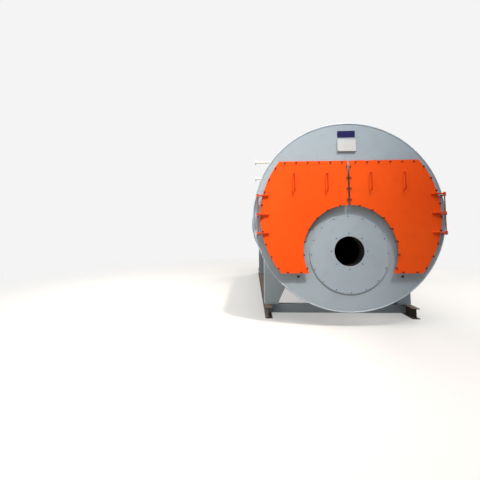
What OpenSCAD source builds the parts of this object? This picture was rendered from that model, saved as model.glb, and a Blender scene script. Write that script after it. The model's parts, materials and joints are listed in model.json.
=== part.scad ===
// Packaged horizontal fire-tube steam boiler on two skids, seen at its front end:
// two hinged smokebox doors arch over a burner plate, on a round flat front.
// X runs right, Y runs back, Z is up. The floor is z = 0 and the origin is mid-length.

/* [Body] */
// Outside diameter of the end rims
rim_d = 2900; // [2840:10:3000]
// Length from front face to rear face
body_len = 5600; // [5200:50:6200]
// Height of the lowest point of the rims above the floor
floor_room = 218; // [200:2:260]
// Radial width of the rounded end rims
rim_w = 23; // [16:1:30]
// How far the rims stand proud of the end plates
rim_out = 4; // [2:1:8]
// Depth of the end rims along the boiler
rim_depth = 60; // [40:5:100]
// How far the cladding lies inside the rim
clad_inset = 10; // [4:1:20]
// Thickness of the lagging and its stainless sheet
clad_t = 140; // [110:5:150]
// Thickness of the pressure shell
drum_t = 18; // [12:1:24]
// Thickness of the flat end plates
end_t = 12; // [8:1:16]
// Number of sheet joints along the cladding
band_count = 6; // [3:1:8]
// Width of a joint band
band_w = 60; // [40:5:90]
// Thickness of a joint band
band_t = 2; // [1.5:0.5:4]
// Distance from a rim to the first joint band
band_from = 260; // [200:10:320]

/* [Smokebox] */
// Depth from front face to tube sheet
box_depth = 240; // [200:10:300]
// Thickness of the tube sheets
sheet_t = 22; // [16:1:30]
// Wall of the frames round the smokebox openings
frame_t = 12; // [8:1:16]
// How far the frames stand out of the front face
frame_out = 49; // [40:1:55]
// How far the frames lie inside the outline of the doors
frame_set = 100; // [80:5:110]
// Half width of the post between the two openings
post_half = 100; // [80:5:120]

/* [Doors] */
// Distance from the front face to the outside of the doors
door_out = 69; // [66:1:76]
// Thickness of a door plate
door_t = 12; // [8:1:14]
// Distance from the rim to the curved outer edge of the doors
door_margin = 109; // [105:1:125]
// Height of the top edge above the shell axis
door_top = 843; // [800:5:870]
// Depth of the bottom edge below the shell axis
door_bottom = 854; // [830:2:870]
// Radius of the arch over the burner plate
arch_r = 697; // [670:1:720]
// Depth of the arch centre below the shell axis
arch_drop = 530; // [510:5:550]
// Gap between the two doors
door_gap = 28; // [16:2:40]
// Thickness of the insulating block behind a door
lining_t = 80; // [50:5:100]
// Room left between that block and the frame
lining_room = 20; // [16:1:30]

/* [Hinges and handles] */
// Distance from the rim to the hinge axis
hinge_margin = 72; // [64:1:80]
// Distance from the front face to the hinge axis
hinge_out = 100; // [95:1:110]
// Diameter of a hinge rod
rod_d = 18; // [16:1:24]
// Wall of a hinge eye round its rod
eye_wall = 11; // [8:1:13]
// Height of a hinge eye
eye_h = 36; // [36:2:60]
// Thickness of a hinge arm
arm_t = 16; // [10:1:20]
// How far an arm stands out of the door at its root
arm_out = 20; // [14:1:26]
// Distance from the hinge axis to the inner end of an arm
arm_len = 170; // [150:1:200]
// Height of the middle hinge arm above the shell axis
arm_mid = 35; // [20:5:50]
// Spacing of the three hinge arms
arm_step = 285; // [260:5:300]
// Thickness of a hinge lug
lug_t = 16; // [10:1:20]
// Width of a hinge lug where it meets the front plate
lug_w = 32; // [26:1:34]
// Length of rod that shows above and below its lugs
rod_tail = 8; // [5:1:15]
// Distance of the inner handle of a door from the middle
handle_x = 325; // [300:5:350]
// Spacing of the two handles of a door
handle_step = 495; // [450:5:500]
// Height of the handles' middle above the shell axis
handle_z = 525; // [500:5:540]
// Overall height of a handle
handle_h = 275; // [220:5:300]
// Diameter of a handle bar
handle_d = 15; // [12:1:20]
// Mean radius of a handle's bends, in bar diameters
handle_bend = 1.4; // [1:0.1:2]
// Distance from the door to a handle's bar centre
handle_off = 48; // [40:1:60]

/* [Burner mounting] */
// Depth of the burner opening below the shell axis
burner_drop = 532; // [525:1:540]
// Diameter of the burner opening
burner_d = 452; // [400:2:470]
// Circle of the burner fixing holes
burner_pcd = 542; // [520:2:560]
// Number of burner fixing holes
burner_holes = 8; // [6:1:12]
// Diameter of a burner fixing hole
burner_hole_d = 20; // [16:1:30]
// Radius of the round burner plate
plate_r = 595; // [560:5:600]
// Depth of that plate's centre below the shell axis
plate_drop = 572; // [560:1:580]
// Thickness of the burner plate
plate_t = 12; // [8:1:20]
// Room between the burner opening and the throat behind it
throat_room = 4; // [2:1:8]
// Length of the straight throat
throat_len = 220; // [190:5:260]
// Radius of the throat's wide end
quarl_r = 360; // [320:5:400]
// Length of the widening behind the straight throat
quarl_len = 150; // [100:5:200]
// How far the throat's front face lies inside the furnace
throat_lip = 90; // [80:2:110]

/* [Furnace and tubes] */
// Mean inside radius of the corrugated furnace
furnace_r = 510; // [480:5:530]
// Wall of the furnace
furnace_t = 16; // [12:1:20]
// Height of a corrugation
wave_h = 36; // [20:2:44]
// Length of a corrugation
wave_len = 200; // [180:5:260]
// Depth of the rear turning chamber
turn_depth = 620; // [500:10:700]
// Thickness of the refractory on the rear plate
rear_lining_t = 150; // [100:10:200]
// Radius of the access opening in the rear plate
cover_in_r = 330; // [280:5:400]
// Width of the rear cover's edge round that opening
cover_edge = 70; // [50:5:90]
// Thickness of the rear cover
cover_t = 16; // [10:1:24]
// Diameter of the sight port
port_d = 60; // [40:5:80]
// Length of the sight port
port_out = 70; // [50:5:100]
// Wall of the sight port
port_wall = 8; // [5:1:10]
// Width of the sight port's flange round its wall
port_edge = 26; // [20:1:32]
// Thickness of the sight port's flange
port_flange = 18; // [12:1:24]
// Outside diameter of a fire tube
tube_d = 70; // [57:1:76]
// Wall of a fire tube
tube_t = 4; // [3:0.5:5]
// Spacing of the fire tubes
tube_pitch = 115; // [105:1:130]
// Length that a tube stands out of its sheet
tube_out = 6; // [3:1:10]

/* [Supports] */
// Distance from the middle to the outside of a skid
skid_x = 1257; // [1240:1:1270]
// Width of a skid beam
skid_w = 120; // [110:2:140]
// Height of a skid beam
skid_h = 170; // [160:2:200]
// Flange thickness of a skid beam
skid_flange = 12; // [8:1:14]
// Web thickness of a skid beam
skid_web = 9; // [7:1:12]
// Distance from the front face back to the front ends of the skids
skid_front = 446; // [400:2:500]
// Length that the skids stand out behind the rear face
skid_rear = 150; // [100:10:300]
// Distance from the front face to the front legs
leg_front = 707; // [680:1:740]
// Distance from the rear face to the rear legs
leg_rear = 900; // [700:10:1000]
// Depth of a leg along the boiler
leg_depth = 300; // [240:10:340]
// Plate thickness of a leg
leg_t = 14; // [10:1:18]
// Width of a leg at its foot
leg_foot = 223; // [200:1:240]
// Depth of the top of the legs below the shell axis
leg_below = 500; // [450:10:560]
// How far the legs stand inside the outer edge of the skids
leg_in = 3; // [2:1:8]
// Inward lean of a leg's inner edge, run over rise
leg_lean = 0.476; // [0.4:0.01:0.55]
// Width of a cross beam
cross_w = 110; // [90:5:130]
// Distance from a leg's front plate to the middle of its cross beam
cross_back = 110; // [80:5:160]

/* [Nozzles] */
// Inside diameter of the steam outlet
steam_d = 150; // [125:5:200]
// Inside diameter of a safety valve nozzle
safety_d = 80; // [65:5:100]
// Inside diameter of a feedwater nozzle
feed_d = 50; // [40:5:65]
// Inside diameter of a gauge nozzle
gauge_d = 24; // [20:1:28]
// Depth of the upper gauge nozzle below the top of the rims
gauge_drop = 410; // [390:5:440]
// Spacing of the two gauge nozzles
gauge_step = 300; // [280:5:340]
// Distance from the front face to the gauge nozzles
gauge_y = 800; // [780:10:900]
// Distance from the outside of the rims in to the side flanges
side_in = 54; // [30:1:70]
// Diameter of a gauge flange
gauge_flange = 100; // [90:5:105]
// Thickness of a gauge flange
gauge_flange_t = 14; // [10:1:18]
// Bolt circle of a gauge flange
gauge_pcd = 76; // [70:1:80]
// Diameter of a hole in a gauge flange
gauge_hole = 14; // [12:1:15]
// Wall of a gauge nozzle
gauge_wall = 4; // [3:0.5:5]
// Height of the steam outlet above the cladding
steam_up = 190; // [150:5:240]
// Diameter of the steam flange
steam_flange = 285; // [280:5:300]
// Thickness of the steam flange
steam_flange_t = 26; // [20:1:30]
// Bolt circle of the steam flange
steam_pcd = 240; // [236:1:250]
// Diameter of a hole in the steam flange
steam_hole = 22; // [18:1:24]
// Height of the safety valve nozzles above the cladding
safety_up = 160; // [120:5:200]
// Diameter of a safety valve flange
safety_flange = 200; // [190:5:210]
// Thickness of a safety valve flange
safety_flange_t = 22; // [18:1:26]
// Bolt circle of a safety valve flange
safety_pcd = 160; // [155:1:165]
// Diameter of a hole in a safety valve flange
safety_hole = 18; // [16:1:20]
// Height of the raised joint face of a flange
raised = 2; // [1.6:0.2:3]
// Distance from the front face to the manhole
manhole_y = 1700; // [1500:50:1900]
// Distance from the front face to the steam outlet
steam_y = 2850; // [2600:50:3000]
// Distance from the steam outlet to each safety valve nozzle
safety_step = 480; // [400:10:520]
// Inside diameter of the manhole
manhole_d = 400; // [360:10:420]
// Height of the manhole above the cladding
manhole_up = 120; // [90:5:160]
// Width of the manhole's flange round its opening
manhole_edge = 75; // [60:1:90]
// Thickness of the manhole's flange
manhole_flange_t = 28; // [22:1:34]
// Thickness of the manhole cover
manhole_t = 30; // [24:1:36]
// Width of a grip on the manhole cover
grip_w = 120; // [100:5:140]
// Height of a grip on the manhole cover
grip_h = 50; // [40:2:60]
// Diameter of a grip bar
grip_d = 16; // [12:1:20]
// Distance of each grip from the middle of the cover
grip_y = 110; // [90:5:140]
// Width of the flue outlet across the boiler
flue_w = 720; // [600:10:800]
// Length of the flue outlet along the boiler
flue_l = 360; // [300:10:400]
// Height of the flue outlet above the cladding
flue_up = 170; // [130:5:220]
// Wall of the flue outlet
flue_t = 8; // [5:1:10]
// Width of the flue outlet's flange outside its opening
flue_edge = 50; // [40:2:60]
// Thickness of the flue outlet's flange
flue_flange_t = 10; // [8:1:12]
// Diameter of a hole in the flue outlet's flange
flue_hole_d = 14; // [12:1:16]
// Distance of the flue outlet from the middle of the turning chamber
flue_fore = 20; // [0:5:40]
// Thickness of a lifting lug
lift_t = 30; // [20:1:40]
// Diameter of the eye in a lifting lug
lift_d = 60; // [50:1:70]
// Distance from either end of the body to its lifting lugs
lift_y = 1150; // [1000:10:1300]
// Angle of each lifting lug off the top
lift_angle = 14; // [10:1:20]
// Length of a lifting lug at the cladding
lift_len = 220; // [180:10:260]
// Outside radius of a lifting lug round its eye
lift_r = 75; // [65:1:85]
// Height of the eye above the cladding
lift_up = 70; // [60:2:90]
// Wall of the nozzle pipes
pipe_wall = 6; // [4:1:8]
// Distance from the front face to the feedwater nozzle
feed_y = 3600; // [3500:50:4000]
// Depth of the feedwater nozzle below the top of the rims
feed_drop = 750; // [700:10:800]
// Diameter of the feedwater flange
feed_flange = 165; // [150:5:170]
// Thickness of the feedwater flange
feed_flange_t = 18; // [14:1:22]
// Bolt circle of the feedwater flange
feed_pcd = 125; // [120:1:128]
// Diameter of a hole in the feedwater flange
feed_hole = 18; // [14:1:19]

/* [Plates and drains] */
// Width of the white data plate
data_w = 283; // [250:1:300]
// Height of the white data plate
data_h = 182; // [160:1:200]
// Depth of the data plate's middle below the top of the rims
data_drop = 356; // [350:1:380]
// Depth of the box that carries the data plate
data_out = 22; // [14:1:30]
// Width of the blank blue plate
blue_w = 270; // [240:1:290]
// Height of the blank blue plate
blue_h = 103; // [90:1:110]
// Gap between the two plates
blue_gap = 38; // [20:1:45]
// Thickness of the blank blue plate
blue_t = 4; // [2:1:6]
// Distance of each drain in from the side of the rims
drain_in = 675; // [650:5:710]
// Distance of the drains below the doors
drain_below = 56; // [45:1:70]
// Inside diameter of a drain
drain_d = 22; // [16:1:26]
// How far a drain stands out of the face
drain_out = 8; // [5:1:15]
// Wall of a drain
drain_wall = 7; // [4:1:8]
// How far a drain reaches in behind the face
drain_len = 60; // [40:5:80]

/* [Hidden] */
$fn = 96;

// Seat between parts that touch, and running gap of a hinge
seat = 0.3;
run = 0.08;
eps = 1;

rim_r = rim_d / 2;
plate_out_r = rim_r - rim_w;
clad_r = rim_r - clad_inset;
drum_r = clad_r - clad_t;
drum_in = drum_r - drum_t;
eye_r = rod_d / 2 + run + eye_wall;
front_reach = max(door_out + handle_off + handle_d / 2, hinge_out + eye_r);
rear_reach = max(skid_rear, seat + cover_t + port_out);
face_y = front_reach - (front_reach + body_len + rear_reach) / 2;
back_y = face_y + body_len;
axis_h = floor_room + rim_r;
rear_sheet_y = body_len - end_t - turn_depth - sheet_t;
door_r = rim_r - door_margin;
door_back = door_out - door_t;
seal_t = door_back - frame_out - 2 * seat;
open_set = frame_set + frame_t;
open_post = post_half + frame_t;
hinge_x = rim_r - hinge_margin;
arm_zs = [for (k = [-1:1]) arm_mid + k * arm_step];
rod_low = arm_zs[0] - eye_h / 2 - lug_t - rod_tail;
rod_high = arm_zs[2] + eye_h / 2 + rod_tail;
throat_r = burner_d / 2 + throat_room;
plug_room = 8;
plug_r = furnace_r - wave_h / 2 - plug_room;
mouth_r = plug_r - throat_lip;
furnace_out = furnace_r + wave_h / 2 + furnace_t;
furnace_len = rear_sheet_y + sheet_t - box_depth;
wave_steps = 8;
plain_end = 120;
wave_count = floor((furnace_len - 2 * plain_end) / wave_len);
wave_start = (furnace_len - wave_count * wave_len) / 2;
tube_r = tube_d / 2;
tube_margin = 20;
cover_r = cover_in_r + cover_edge;
leg_out = skid_x - leg_in;
leg_band_x = leg_out - leg_foot - leg_lean * rim_r / 2;

// Places of the fire tubes on the right, in rows that stay clear of the frame
function tube_fits(x, z, edge) =
    norm([x, z]) < door_r - open_set - edge
    && norm([x, z + arch_drop]) > arch_r + open_set + edge
    && z < door_top - open_set - edge
    && z > -door_bottom + open_set + edge;
tube_edge = tube_r + tube_margin;
tube_mid = 35;
tube_spots = [for (i = [0:12], k = [-8:8])
    let (x = open_post + tube_edge + i * tube_pitch, z = tube_mid + k * tube_pitch)
    if (tube_fits(x, z, tube_edge)) [x, z]];

gauge_top = rim_r - gauge_drop;
gauge_low = gauge_top - gauge_step;
side_x = rim_r - side_in;
feed_z = rim_r - feed_drop;
data_z = rim_r - data_drop;
data_bottom = data_z - data_h / 2;
blue_z = data_z + data_h / 2 + blue_gap + blue_h / 2;
drain_x = rim_r - drain_in;
cover_room = 2;
cross_room = 1;
cross_h = skid_h - 2 * skid_flange - 2 * cross_room;
front_leg_y = face_y + leg_front;
rear_leg_y = back_y - leg_rear - leg_depth;
flue_y = body_len - end_t - turn_depth / 2 - flue_fore;

// Places a shape on the shell axis at the front face
module at_face() {
    translate([0, face_y, axis_h]) children();
}

// Extrudes an outline in X and Z from y0 to y1
module slab(y0, y1) {
    translate([0, y1, 0]) rotate([90, 0, 0]) linear_extrude(y1 - y0) children();
}

// Turns a profile of radius and y about the shell axis, dropped by a distance
module turned(drop = 0) {
    translate([0, 0, -drop]) rotate([-90, 0, 0]) rotate_extrude($fn = 180) children();
}

// Round bar along Y from y0 to y1
module bar_y(r, y0, y1) {
    translate([0, y0, 0]) rotate([-90, 0, 0]) cylinder(r = r, h = y1 - y0);
}

// The left-hand twin of a shape
module mirrored() {
    mirror([1, 0, 0]) children();
}

// Outline of both doors together, drawn in by a distance
module door_outline(set) {
    difference() {
        intersection() {
            circle(r = door_r - set, $fn = 180);
            translate([-rim_r, -door_bottom + set])
                square([2 * rim_r, door_top + door_bottom - 2 * set]);
        }
        translate([0, -arch_drop]) circle(r = arch_r + set, $fn = 180);
    }
}

// The right half of that outline, from a distance off the middle
module door_half(set, from) {
    intersection() {
        door_outline(set);
        translate([from, -rim_r]) square(2 * rim_r);
    }
}

// Ring of places round an axis along Z, turned by a share of the step between them
module ring_of(count, pcd, turn = 0.5) {
    for (i = [0:count - 1]) rotate((i + turn) * 360 / count) translate([pcd / 2, 0]) children();
}

// Flanged pipe along Z with its flange face at z = 0, reaching down by a length
module flanged_pipe(bore, wall, len, flange_d, flange_t, holes, hole_d, pcd) {
    difference() {
        union() {
            translate([0, 0, -len]) cylinder(d = bore + 2 * wall, h = len);
            translate([0, 0, -flange_t]) cylinder(d = flange_d, h = flange_t);
            translate([0, 0, -raised]) cylinder(d = (bore + pcd) / 2, h = 2 * raised);
        }
        translate([0, 0, -len - eps]) cylinder(d = bore, h = len + 2 * raised + eps);
        translate([0, 0, -flange_t - eps]) linear_extrude(flange_t + 2 * raised + eps)
            ring_of(holes, pcd) circle(d = hole_d, $fn = 24);
    }
}

// The pressure drum's outside, as a cutter
module drum_solid(extra = 0) {
    translate([0, -eps, 0]) rotate([-90, 0, 0])
        cylinder(r = drum_r + extra, h = body_len + 2 * eps, $fn = 720);
}

// Round front plate, cut out for the doors, the burner throat and the drains
module front_plate() {
    color("#a6acac") at_face() slab(0, end_t) difference() {
        circle(r = plate_out_r - seat, $fn = 180);
        door_half(frame_set - seat, post_half - seat);
        mirrored() door_half(frame_set - seat, post_half - seat);
        translate([0, -burner_drop]) circle(r = mouth_r + seat, $fn = 120);
        for (s = [-1, 1]) translate([s * drain_x, -door_bottom - drain_below])
            circle(d = drain_d + 2 * drain_wall + 2 * seat, $fn = 32);
    }
}

// Rounded band round an end, with its round edge at y = 0
module rim_profile() {
    translate([plate_out_r, rim_w / 2]) square([rim_w, rim_depth - rim_w / 2]);
    translate([plate_out_r + rim_w / 2, rim_w / 2]) circle(d = rim_w, $fn = 32);
}

module end_rims() {
    color("#b9c1c4") at_face() {
        translate([0, -rim_out, 0]) turned() rim_profile();
        translate([0, body_len + rim_out, 0]) mirror([0, 1, 0]) turned() rim_profile();
    }
}

// Outline of the wall of the right smokebox frame
module right_frame_shape() {
    difference() {
        door_half(frame_set, post_half);
        door_half(open_set, open_post);
    }
}

module right_smokebox_frame() {
    color("#9ba1a2") at_face() slab(-frame_out, box_depth - seat) right_frame_shape();
}

module left_smokebox_frame() {
    mirrored() right_smokebox_frame();
}

// Rope seal on the front edge of each frame
module door_seals() {
    color("#6e6a62") at_face() slab(-frame_out - seat - seal_t, -frame_out - seat) {
        right_frame_shape();
        mirrored() right_frame_shape();
    }
}

// Outline of a tube sheet with its holes for tubes and furnace
module sheet_shape() {
    difference() {
        circle(r = drum_in - seat, $fn = 180);
        translate([0, -burner_drop]) circle(r = furnace_out + seat, $fn = 120);
        for (s = [-1, 1], p = tube_spots) translate([s * p[0], p[1]])
            circle(r = tube_r + seat, $fn = 32);
    }
}

module front_tube_sheet() {
    color("#5c5348") at_face() slab(box_depth, box_depth + sheet_t) sheet_shape();
}

module rear_tube_sheet() {
    color("#5c5348") at_face() slab(rear_sheet_y, rear_sheet_y + sheet_t) sheet_shape();
}

module fire_tubes() {
    color("#6d5f52") at_face()
        slab(box_depth - tube_out, rear_sheet_y + sheet_t + tube_out)
            for (s = [-1, 1], p = tube_spots) translate([s * p[0], p[1]]) difference() {
                circle(r = tube_r, $fn = 32);
                circle(r = tube_r - tube_t, $fn = 32);
            }
}

// Height of the furnace wave at a place along the furnace
function wave(y) = y < wave_start || y > furnace_len - wave_start
    ? wave_h / 2
    : wave_h / 2 * cos(360 * (y - wave_start) / wave_len);

module furnace_tube() {
    ys = concat([0], [for (i = [0:wave_count * wave_steps]) wave_start + i * wave_len / wave_steps],
        [furnace_len]);
    inner = [for (y = ys) [furnace_r + wave(y), y]];
    outer = [for (i = [len(ys) - 1:-1:0]) [furnace_r + furnace_t + wave(ys[i]), ys[i]]];
    color("#4a423a") at_face() translate([0, box_depth, 0])
        turned(burner_drop) polygon(concat(inner, outer));
}

module burner_plate() {
    color("#9aa3a2") at_face() slab(-seat - plate_t, -seat) difference() {
        translate([0, -plate_drop]) circle(r = plate_r, $fn = 180);
        translate([0, -burner_drop]) {
            circle(d = burner_d, $fn = 120);
            ring_of(burner_holes, burner_pcd, 0) circle(d = burner_hole_d, $fn = 32);
        }
    }
}

// Cast throat: straight behind the burner opening, then widening into the furnace
module throat_refractory() {
    plug_end = throat_len + quarl_len;
    color("#7d7566") at_face() turned(burner_drop) polygon([
        [throat_r, 0],
        [mouth_r, 0],
        [mouth_r, end_t + seat],
        [plug_r, end_t + seat],
        [plug_r, plug_end],
        [quarl_r, plug_end],
        [throat_r, throat_len]
    ]);
}

// Cutter for the flue's way out, grown by a distance
module flue_hole(extra) {
    translate([-flue_w / 2 - extra, flue_y - flue_l / 2 - extra, 0])
        cube([flue_w + 2 * extra, flue_l + 2 * extra, rim_r + flue_up + eps]);
}

// Everything that passes out of the drum, as cutters grown by a distance
module nozzle_bores(extra, wall) {
    translate([0, steam_y, 0]) cylinder(d = steam_d + 2 * wall + 2 * extra, h = rim_r);
    for (s = [-1, 1]) translate([0, steam_y + s * safety_step, 0])
        cylinder(d = safety_d + 2 * wall + 2 * extra, h = rim_r);
    translate([0, manhole_y, 0]) cylinder(d = manhole_d + 2 * wall + 2 * extra, h = rim_r);
    for (z = [gauge_top, gauge_low]) translate([0, gauge_y, z]) rotate([0, -90, 0])
        cylinder(d = gauge_d + (wall > 0 ? 2 * gauge_wall : 0) + 2 * extra, h = rim_r);
    translate([0, feed_y, feed_z]) rotate([0, 90, 0])
        cylinder(d = feed_d + 2 * wall + 2 * extra, h = rim_r);
}

module pressure_drum() {
    color("#4b4640") at_face() difference() {
        turned() translate([drum_in, end_t + seat]) square([drum_t, body_len - 2 * end_t - 2 * seat]);
        nozzle_bores(0, 0);
        flue_hole(0);
    }
}

module shell_cladding() {
    color("#c3c8cb") at_face() difference() {
        turned() translate([drum_r + seat, end_t + seat])
            square([clad_t - seat, body_len - 2 * end_t - 2 * seat]);
        rim_cut();
        nozzle_bores(seat, pipe_wall);
        flue_hole(flue_t + seat);
        lift_places() lift_shape(seat);
    }
}

// The rims reach in over the ends of the cladding
module rim_cut() {
    for (y0 = [-eps, body_len + rim_out - rim_depth - seat])
        turned() translate([plate_out_r - seat, y0])
            square([rim_w, rim_depth - rim_out + seat + eps]);
}

module cladding_bands() {
    first = rim_depth + band_from;
    step = (body_len - 2 * first - band_w) / (band_count - 1);
    color("#a9afb3") at_face() difference() {
        for (i = [0:band_count - 1]) turned()
            translate([clad_r + seat, first + i * step]) square([band_t, band_w]);
        nozzle_bores(seat, pipe_wall);
        flue_hole(flue_t + seat);
        lift_places() lift_shape(seat);
        for (y = [leg_front, body_len - leg_rear - leg_depth]) translate([0, y, 0])
            for (s = [0, 1]) mirror([s, 0, 0]) translate([leg_band_x, -seat, -rim_r])
                cube([rim_r, leg_depth + 2 * seat, rim_r]);
    }
}

module rear_lining() {
    y1 = body_len - end_t - seat;
    color("#857c6c") at_face() slab(y1 - rear_lining_t, y1) difference() {
        circle(r = drum_in - seat, $fn = 180);
        translate([0, -burner_drop]) circle(r = cover_in_r, $fn = 96);
    }
}

module rear_plate() {
    color("#a6acac") at_face() slab(body_len - end_t, body_len) difference() {
        circle(r = plate_out_r - seat, $fn = 180);
        translate([0, -burner_drop]) circle(r = cover_in_r, $fn = 96);
    }
}

// Bolted cover with its plug and a flanged sight port on its middle
module rear_cover() {
    y0 = body_len + seat;
    port_end = y0 + cover_t + port_out;
    color("#9aa3a2") at_face() translate([0, 0, -burner_drop]) difference() {
        union() {
            bar_y(cover_r, y0, y0 + cover_t);
            bar_y(cover_in_r - cover_room, body_len - end_t - rear_lining_t, y0);
            bar_y(port_d / 2 + port_wall, y0, port_end);
            bar_y(port_d / 2 + port_wall + port_edge, port_end - port_flange, port_end);
        }
        bar_y(port_d / 2, 0, port_end - port_flange / 2);
    }
}

// Rectangular duct stub with a flange, standing over the rear chamber
module flue_outlet() {
    top = clad_r + flue_up;
    color("#a6acac") at_face() difference() {
        union() {
            translate([-flue_w / 2 - flue_t, flue_y - flue_l / 2 - flue_t, 0])
                cube([flue_w + 2 * flue_t, flue_l + 2 * flue_t, top]);
            translate([-flue_w / 2 - flue_edge, flue_y - flue_l / 2 - flue_edge, top - flue_flange_t])
                cube([flue_w + 2 * flue_edge, flue_l + 2 * flue_edge, flue_flange_t]);
        }
        translate([0, 0, eps]) flue_hole(0);
        drum_solid(seat);
        for (sx = [-1, 1], sy = [-1, 1])
            translate([sx * (flue_w + flue_edge) / 2, flue_y + sy * (flue_l + flue_edge) / 2, rim_r])
                cylinder(d = flue_hole_d, h = rim_r, $fn = 24);
    }
}

module steam_outlet() {
    color("#d9d5c8") at_face() difference() {
        translate([0, steam_y, clad_r + steam_up])
            flanged_pipe(steam_d, pipe_wall, rim_r / 2,
                steam_flange, steam_flange_t, 8, steam_hole, steam_pcd);
        drum_solid(seat);
    }
}

module safety_nozzles() {
    color("#d9d5c8") at_face() difference() {
        for (s = [-1, 1]) translate([0, steam_y + s * safety_step, clad_r + safety_up])
            flanged_pipe(safety_d, pipe_wall, rim_r / 2,
                safety_flange, safety_flange_t, 8, safety_hole, safety_pcd);
        drum_solid(seat);
    }
}

module manhole_neck() {
    color("#a6acac") at_face() difference() {
        translate([0, manhole_y, clad_r + manhole_up]) difference() {
            union() {
                translate([0, 0, -rim_r / 2]) cylinder(d = manhole_d + 2 * pipe_wall, h = rim_r / 2);
                translate([0, 0, -manhole_flange_t])
                    cylinder(r = manhole_d / 2 + manhole_edge, h = manhole_flange_t);
            }
            translate([0, 0, -rim_r]) cylinder(d = manhole_d, h = 2 * rim_r);
        }
        drum_solid(seat);
    }
}

// Blind cover with two grips
module manhole_cover() {
    color("#9ba1a2") at_face() translate([0, manhole_y, clad_r + manhole_up + seat]) {
        cylinder(r = manhole_d / 2 + manhole_edge, h = manhole_t);
        for (s = [-1, 1]) translate([0, s * grip_y, manhole_t]) {
            for (x = [-1, 1]) translate([x * grip_w / 2, 0, 0]) cylinder(d = grip_d, h = grip_h);
            translate([-(grip_w + grip_d) / 2, 0, grip_h]) rotate([0, 90, 0])
                cylinder(d = grip_d, h = grip_w + grip_d);
        }
    }
}

module feedwater_nozzle() {
    color("#d9d5c8") at_face() difference() {
        translate([side_x, feed_y, feed_z]) rotate([0, 90, 0])
            flanged_pipe(feed_d, pipe_wall, side_x - eps,
                feed_flange, feed_flange_t, 4, feed_hole, feed_pcd);
        drum_solid(seat);
    }
}

module gauge_nozzles() {
    color("#d9d5c8") at_face() difference() {
        for (z = [gauge_top, gauge_low]) translate([-side_x, gauge_y, z]) rotate([0, -90, 0])
            flanged_pipe(gauge_d, gauge_wall, side_x - eps,
                gauge_flange, gauge_flange_t, 4, gauge_hole, gauge_pcd);
        drum_solid(seat);
    }
}

// Upright plate with an eye, seated on the drum
module lift_shape(extra) {
    translate([-lift_t / 2 - extra, -lift_len / 2 - extra, 0])
        cube([lift_t + 2 * extra, lift_len + 2 * extra, clad_r]);
}

// The four places of the lifting lugs
module lift_places() {
    for (y = [lift_y, body_len - lift_y], a = [-lift_angle, lift_angle])
        rotate([0, a, 0]) translate([0, y, 0]) children();
}

module lifting_lugs() {
    eye_z = clad_r + lift_up;
    color("#a6acac") at_face() difference() {
        lift_places() difference() {
            union() {
                lift_shape(0);
                translate([-lift_t / 2, 0, eye_z]) rotate([0, 90, 0]) cylinder(r = lift_r, h = lift_t);
                translate([-lift_t / 2, -lift_r, 0]) cube([lift_t, 2 * lift_r, eye_z]);
            }
            translate([-lift_t, 0, eye_z]) rotate([0, 90, 0]) cylinder(d = lift_d, h = 2 * lift_t);
        }
        drum_solid(seat);
    }
}

module drain_nipples() {
    color("#5a5f62") at_face() for (s = [-1, 1])
        translate([s * drain_x, 0, -door_bottom - drain_below]) difference() {
            bar_y(drain_d / 2 + drain_wall, -drain_out, drain_len);
            bar_y(drain_d / 2, -drain_out - eps, drain_len + eps);
        }
}

// Beam of I section along Y, standing on the floor
module right_skid() {
    color("#5b4a42") translate([skid_x - skid_w / 2, 0, 0])
        slab(face_y + skid_front, back_y + skid_rear) {
            translate([-skid_w / 2, 0]) square([skid_w, skid_flange]);
            translate([-skid_w / 2, skid_h - skid_flange]) square([skid_w, skid_flange]);
            translate([-skid_web / 2, 0]) square([skid_web, skid_h]);
        }
}

module left_skid() {
    mirrored() right_skid();
}

// Beams of I section between the webs of the skids, under the legs
module cross_beams() {
    half = skid_x - skid_w / 2 - skid_web / 2 - seat;
    for (y = [front_leg_y + cross_back, rear_leg_y + leg_depth - cross_back])
        color("#4b5052") translate([-half, y, skid_flange + cross_room]) {
            translate([0, -cross_w / 2, 0]) cube([2 * half, cross_w, skid_flange]);
            translate([0, -cross_w / 2, cross_h - skid_flange]) cube([2 * half, cross_w, skid_flange]);
            translate([0, -cross_w / 2, 0]) cube([2 * half, skid_web, cross_h]);
        }
}

// Outline of a leg's gusset plate on the right, cut to the cladding
module leg_shape() {
    difference() {
        polygon([
            [leg_out - leg_foot, skid_h + seat],
            [leg_out, skid_h + seat],
            [leg_out, axis_h],
            [leg_out - leg_foot - leg_lean * (axis_h - skid_h), axis_h]
        ]);
        translate([0, axis_h]) circle(r = clad_r + seat, $fn = 180);
        translate([-rim_r, axis_h - leg_below]) square([2 * rim_r, rim_r]);
    }
}

// Two gusset plates, an outer side plate and a base plate
module right_leg(y) {
    color("#8d9292") translate([0, y, 0]) {
        slab(0, leg_t) leg_shape();
        slab(leg_depth - leg_t, leg_depth) leg_shape();
        slab(0, leg_depth) intersection() {
            leg_shape();
            translate([leg_out - leg_t, 0]) square([leg_t, axis_h]);
        }
        slab(0, leg_depth) intersection() {
            leg_shape();
            square([rim_r, skid_h + seat + leg_t]);
        }
    }
}

module front_right_leg() {
    right_leg(front_leg_y);
}

module front_left_leg() {
    mirrored() right_leg(front_leg_y);
}

module rear_right_leg() {
    right_leg(rear_leg_y);
}

module rear_left_leg() {
    mirrored() right_leg(rear_leg_y);
}

// White plate folded over a shallow box
module data_plate() {
    color("#dedcd8") at_face() slab(-data_out, -seat)
        translate([-data_w / 2, data_bottom]) square([data_w, data_h]);
}

module blank_blue_plate() {
    color("#23236e") at_face() slab(-seat - blue_t, -seat)
        translate([-blue_w / 2, blue_z - blue_h / 2]) square([blue_w, blue_h]);
}

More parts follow.
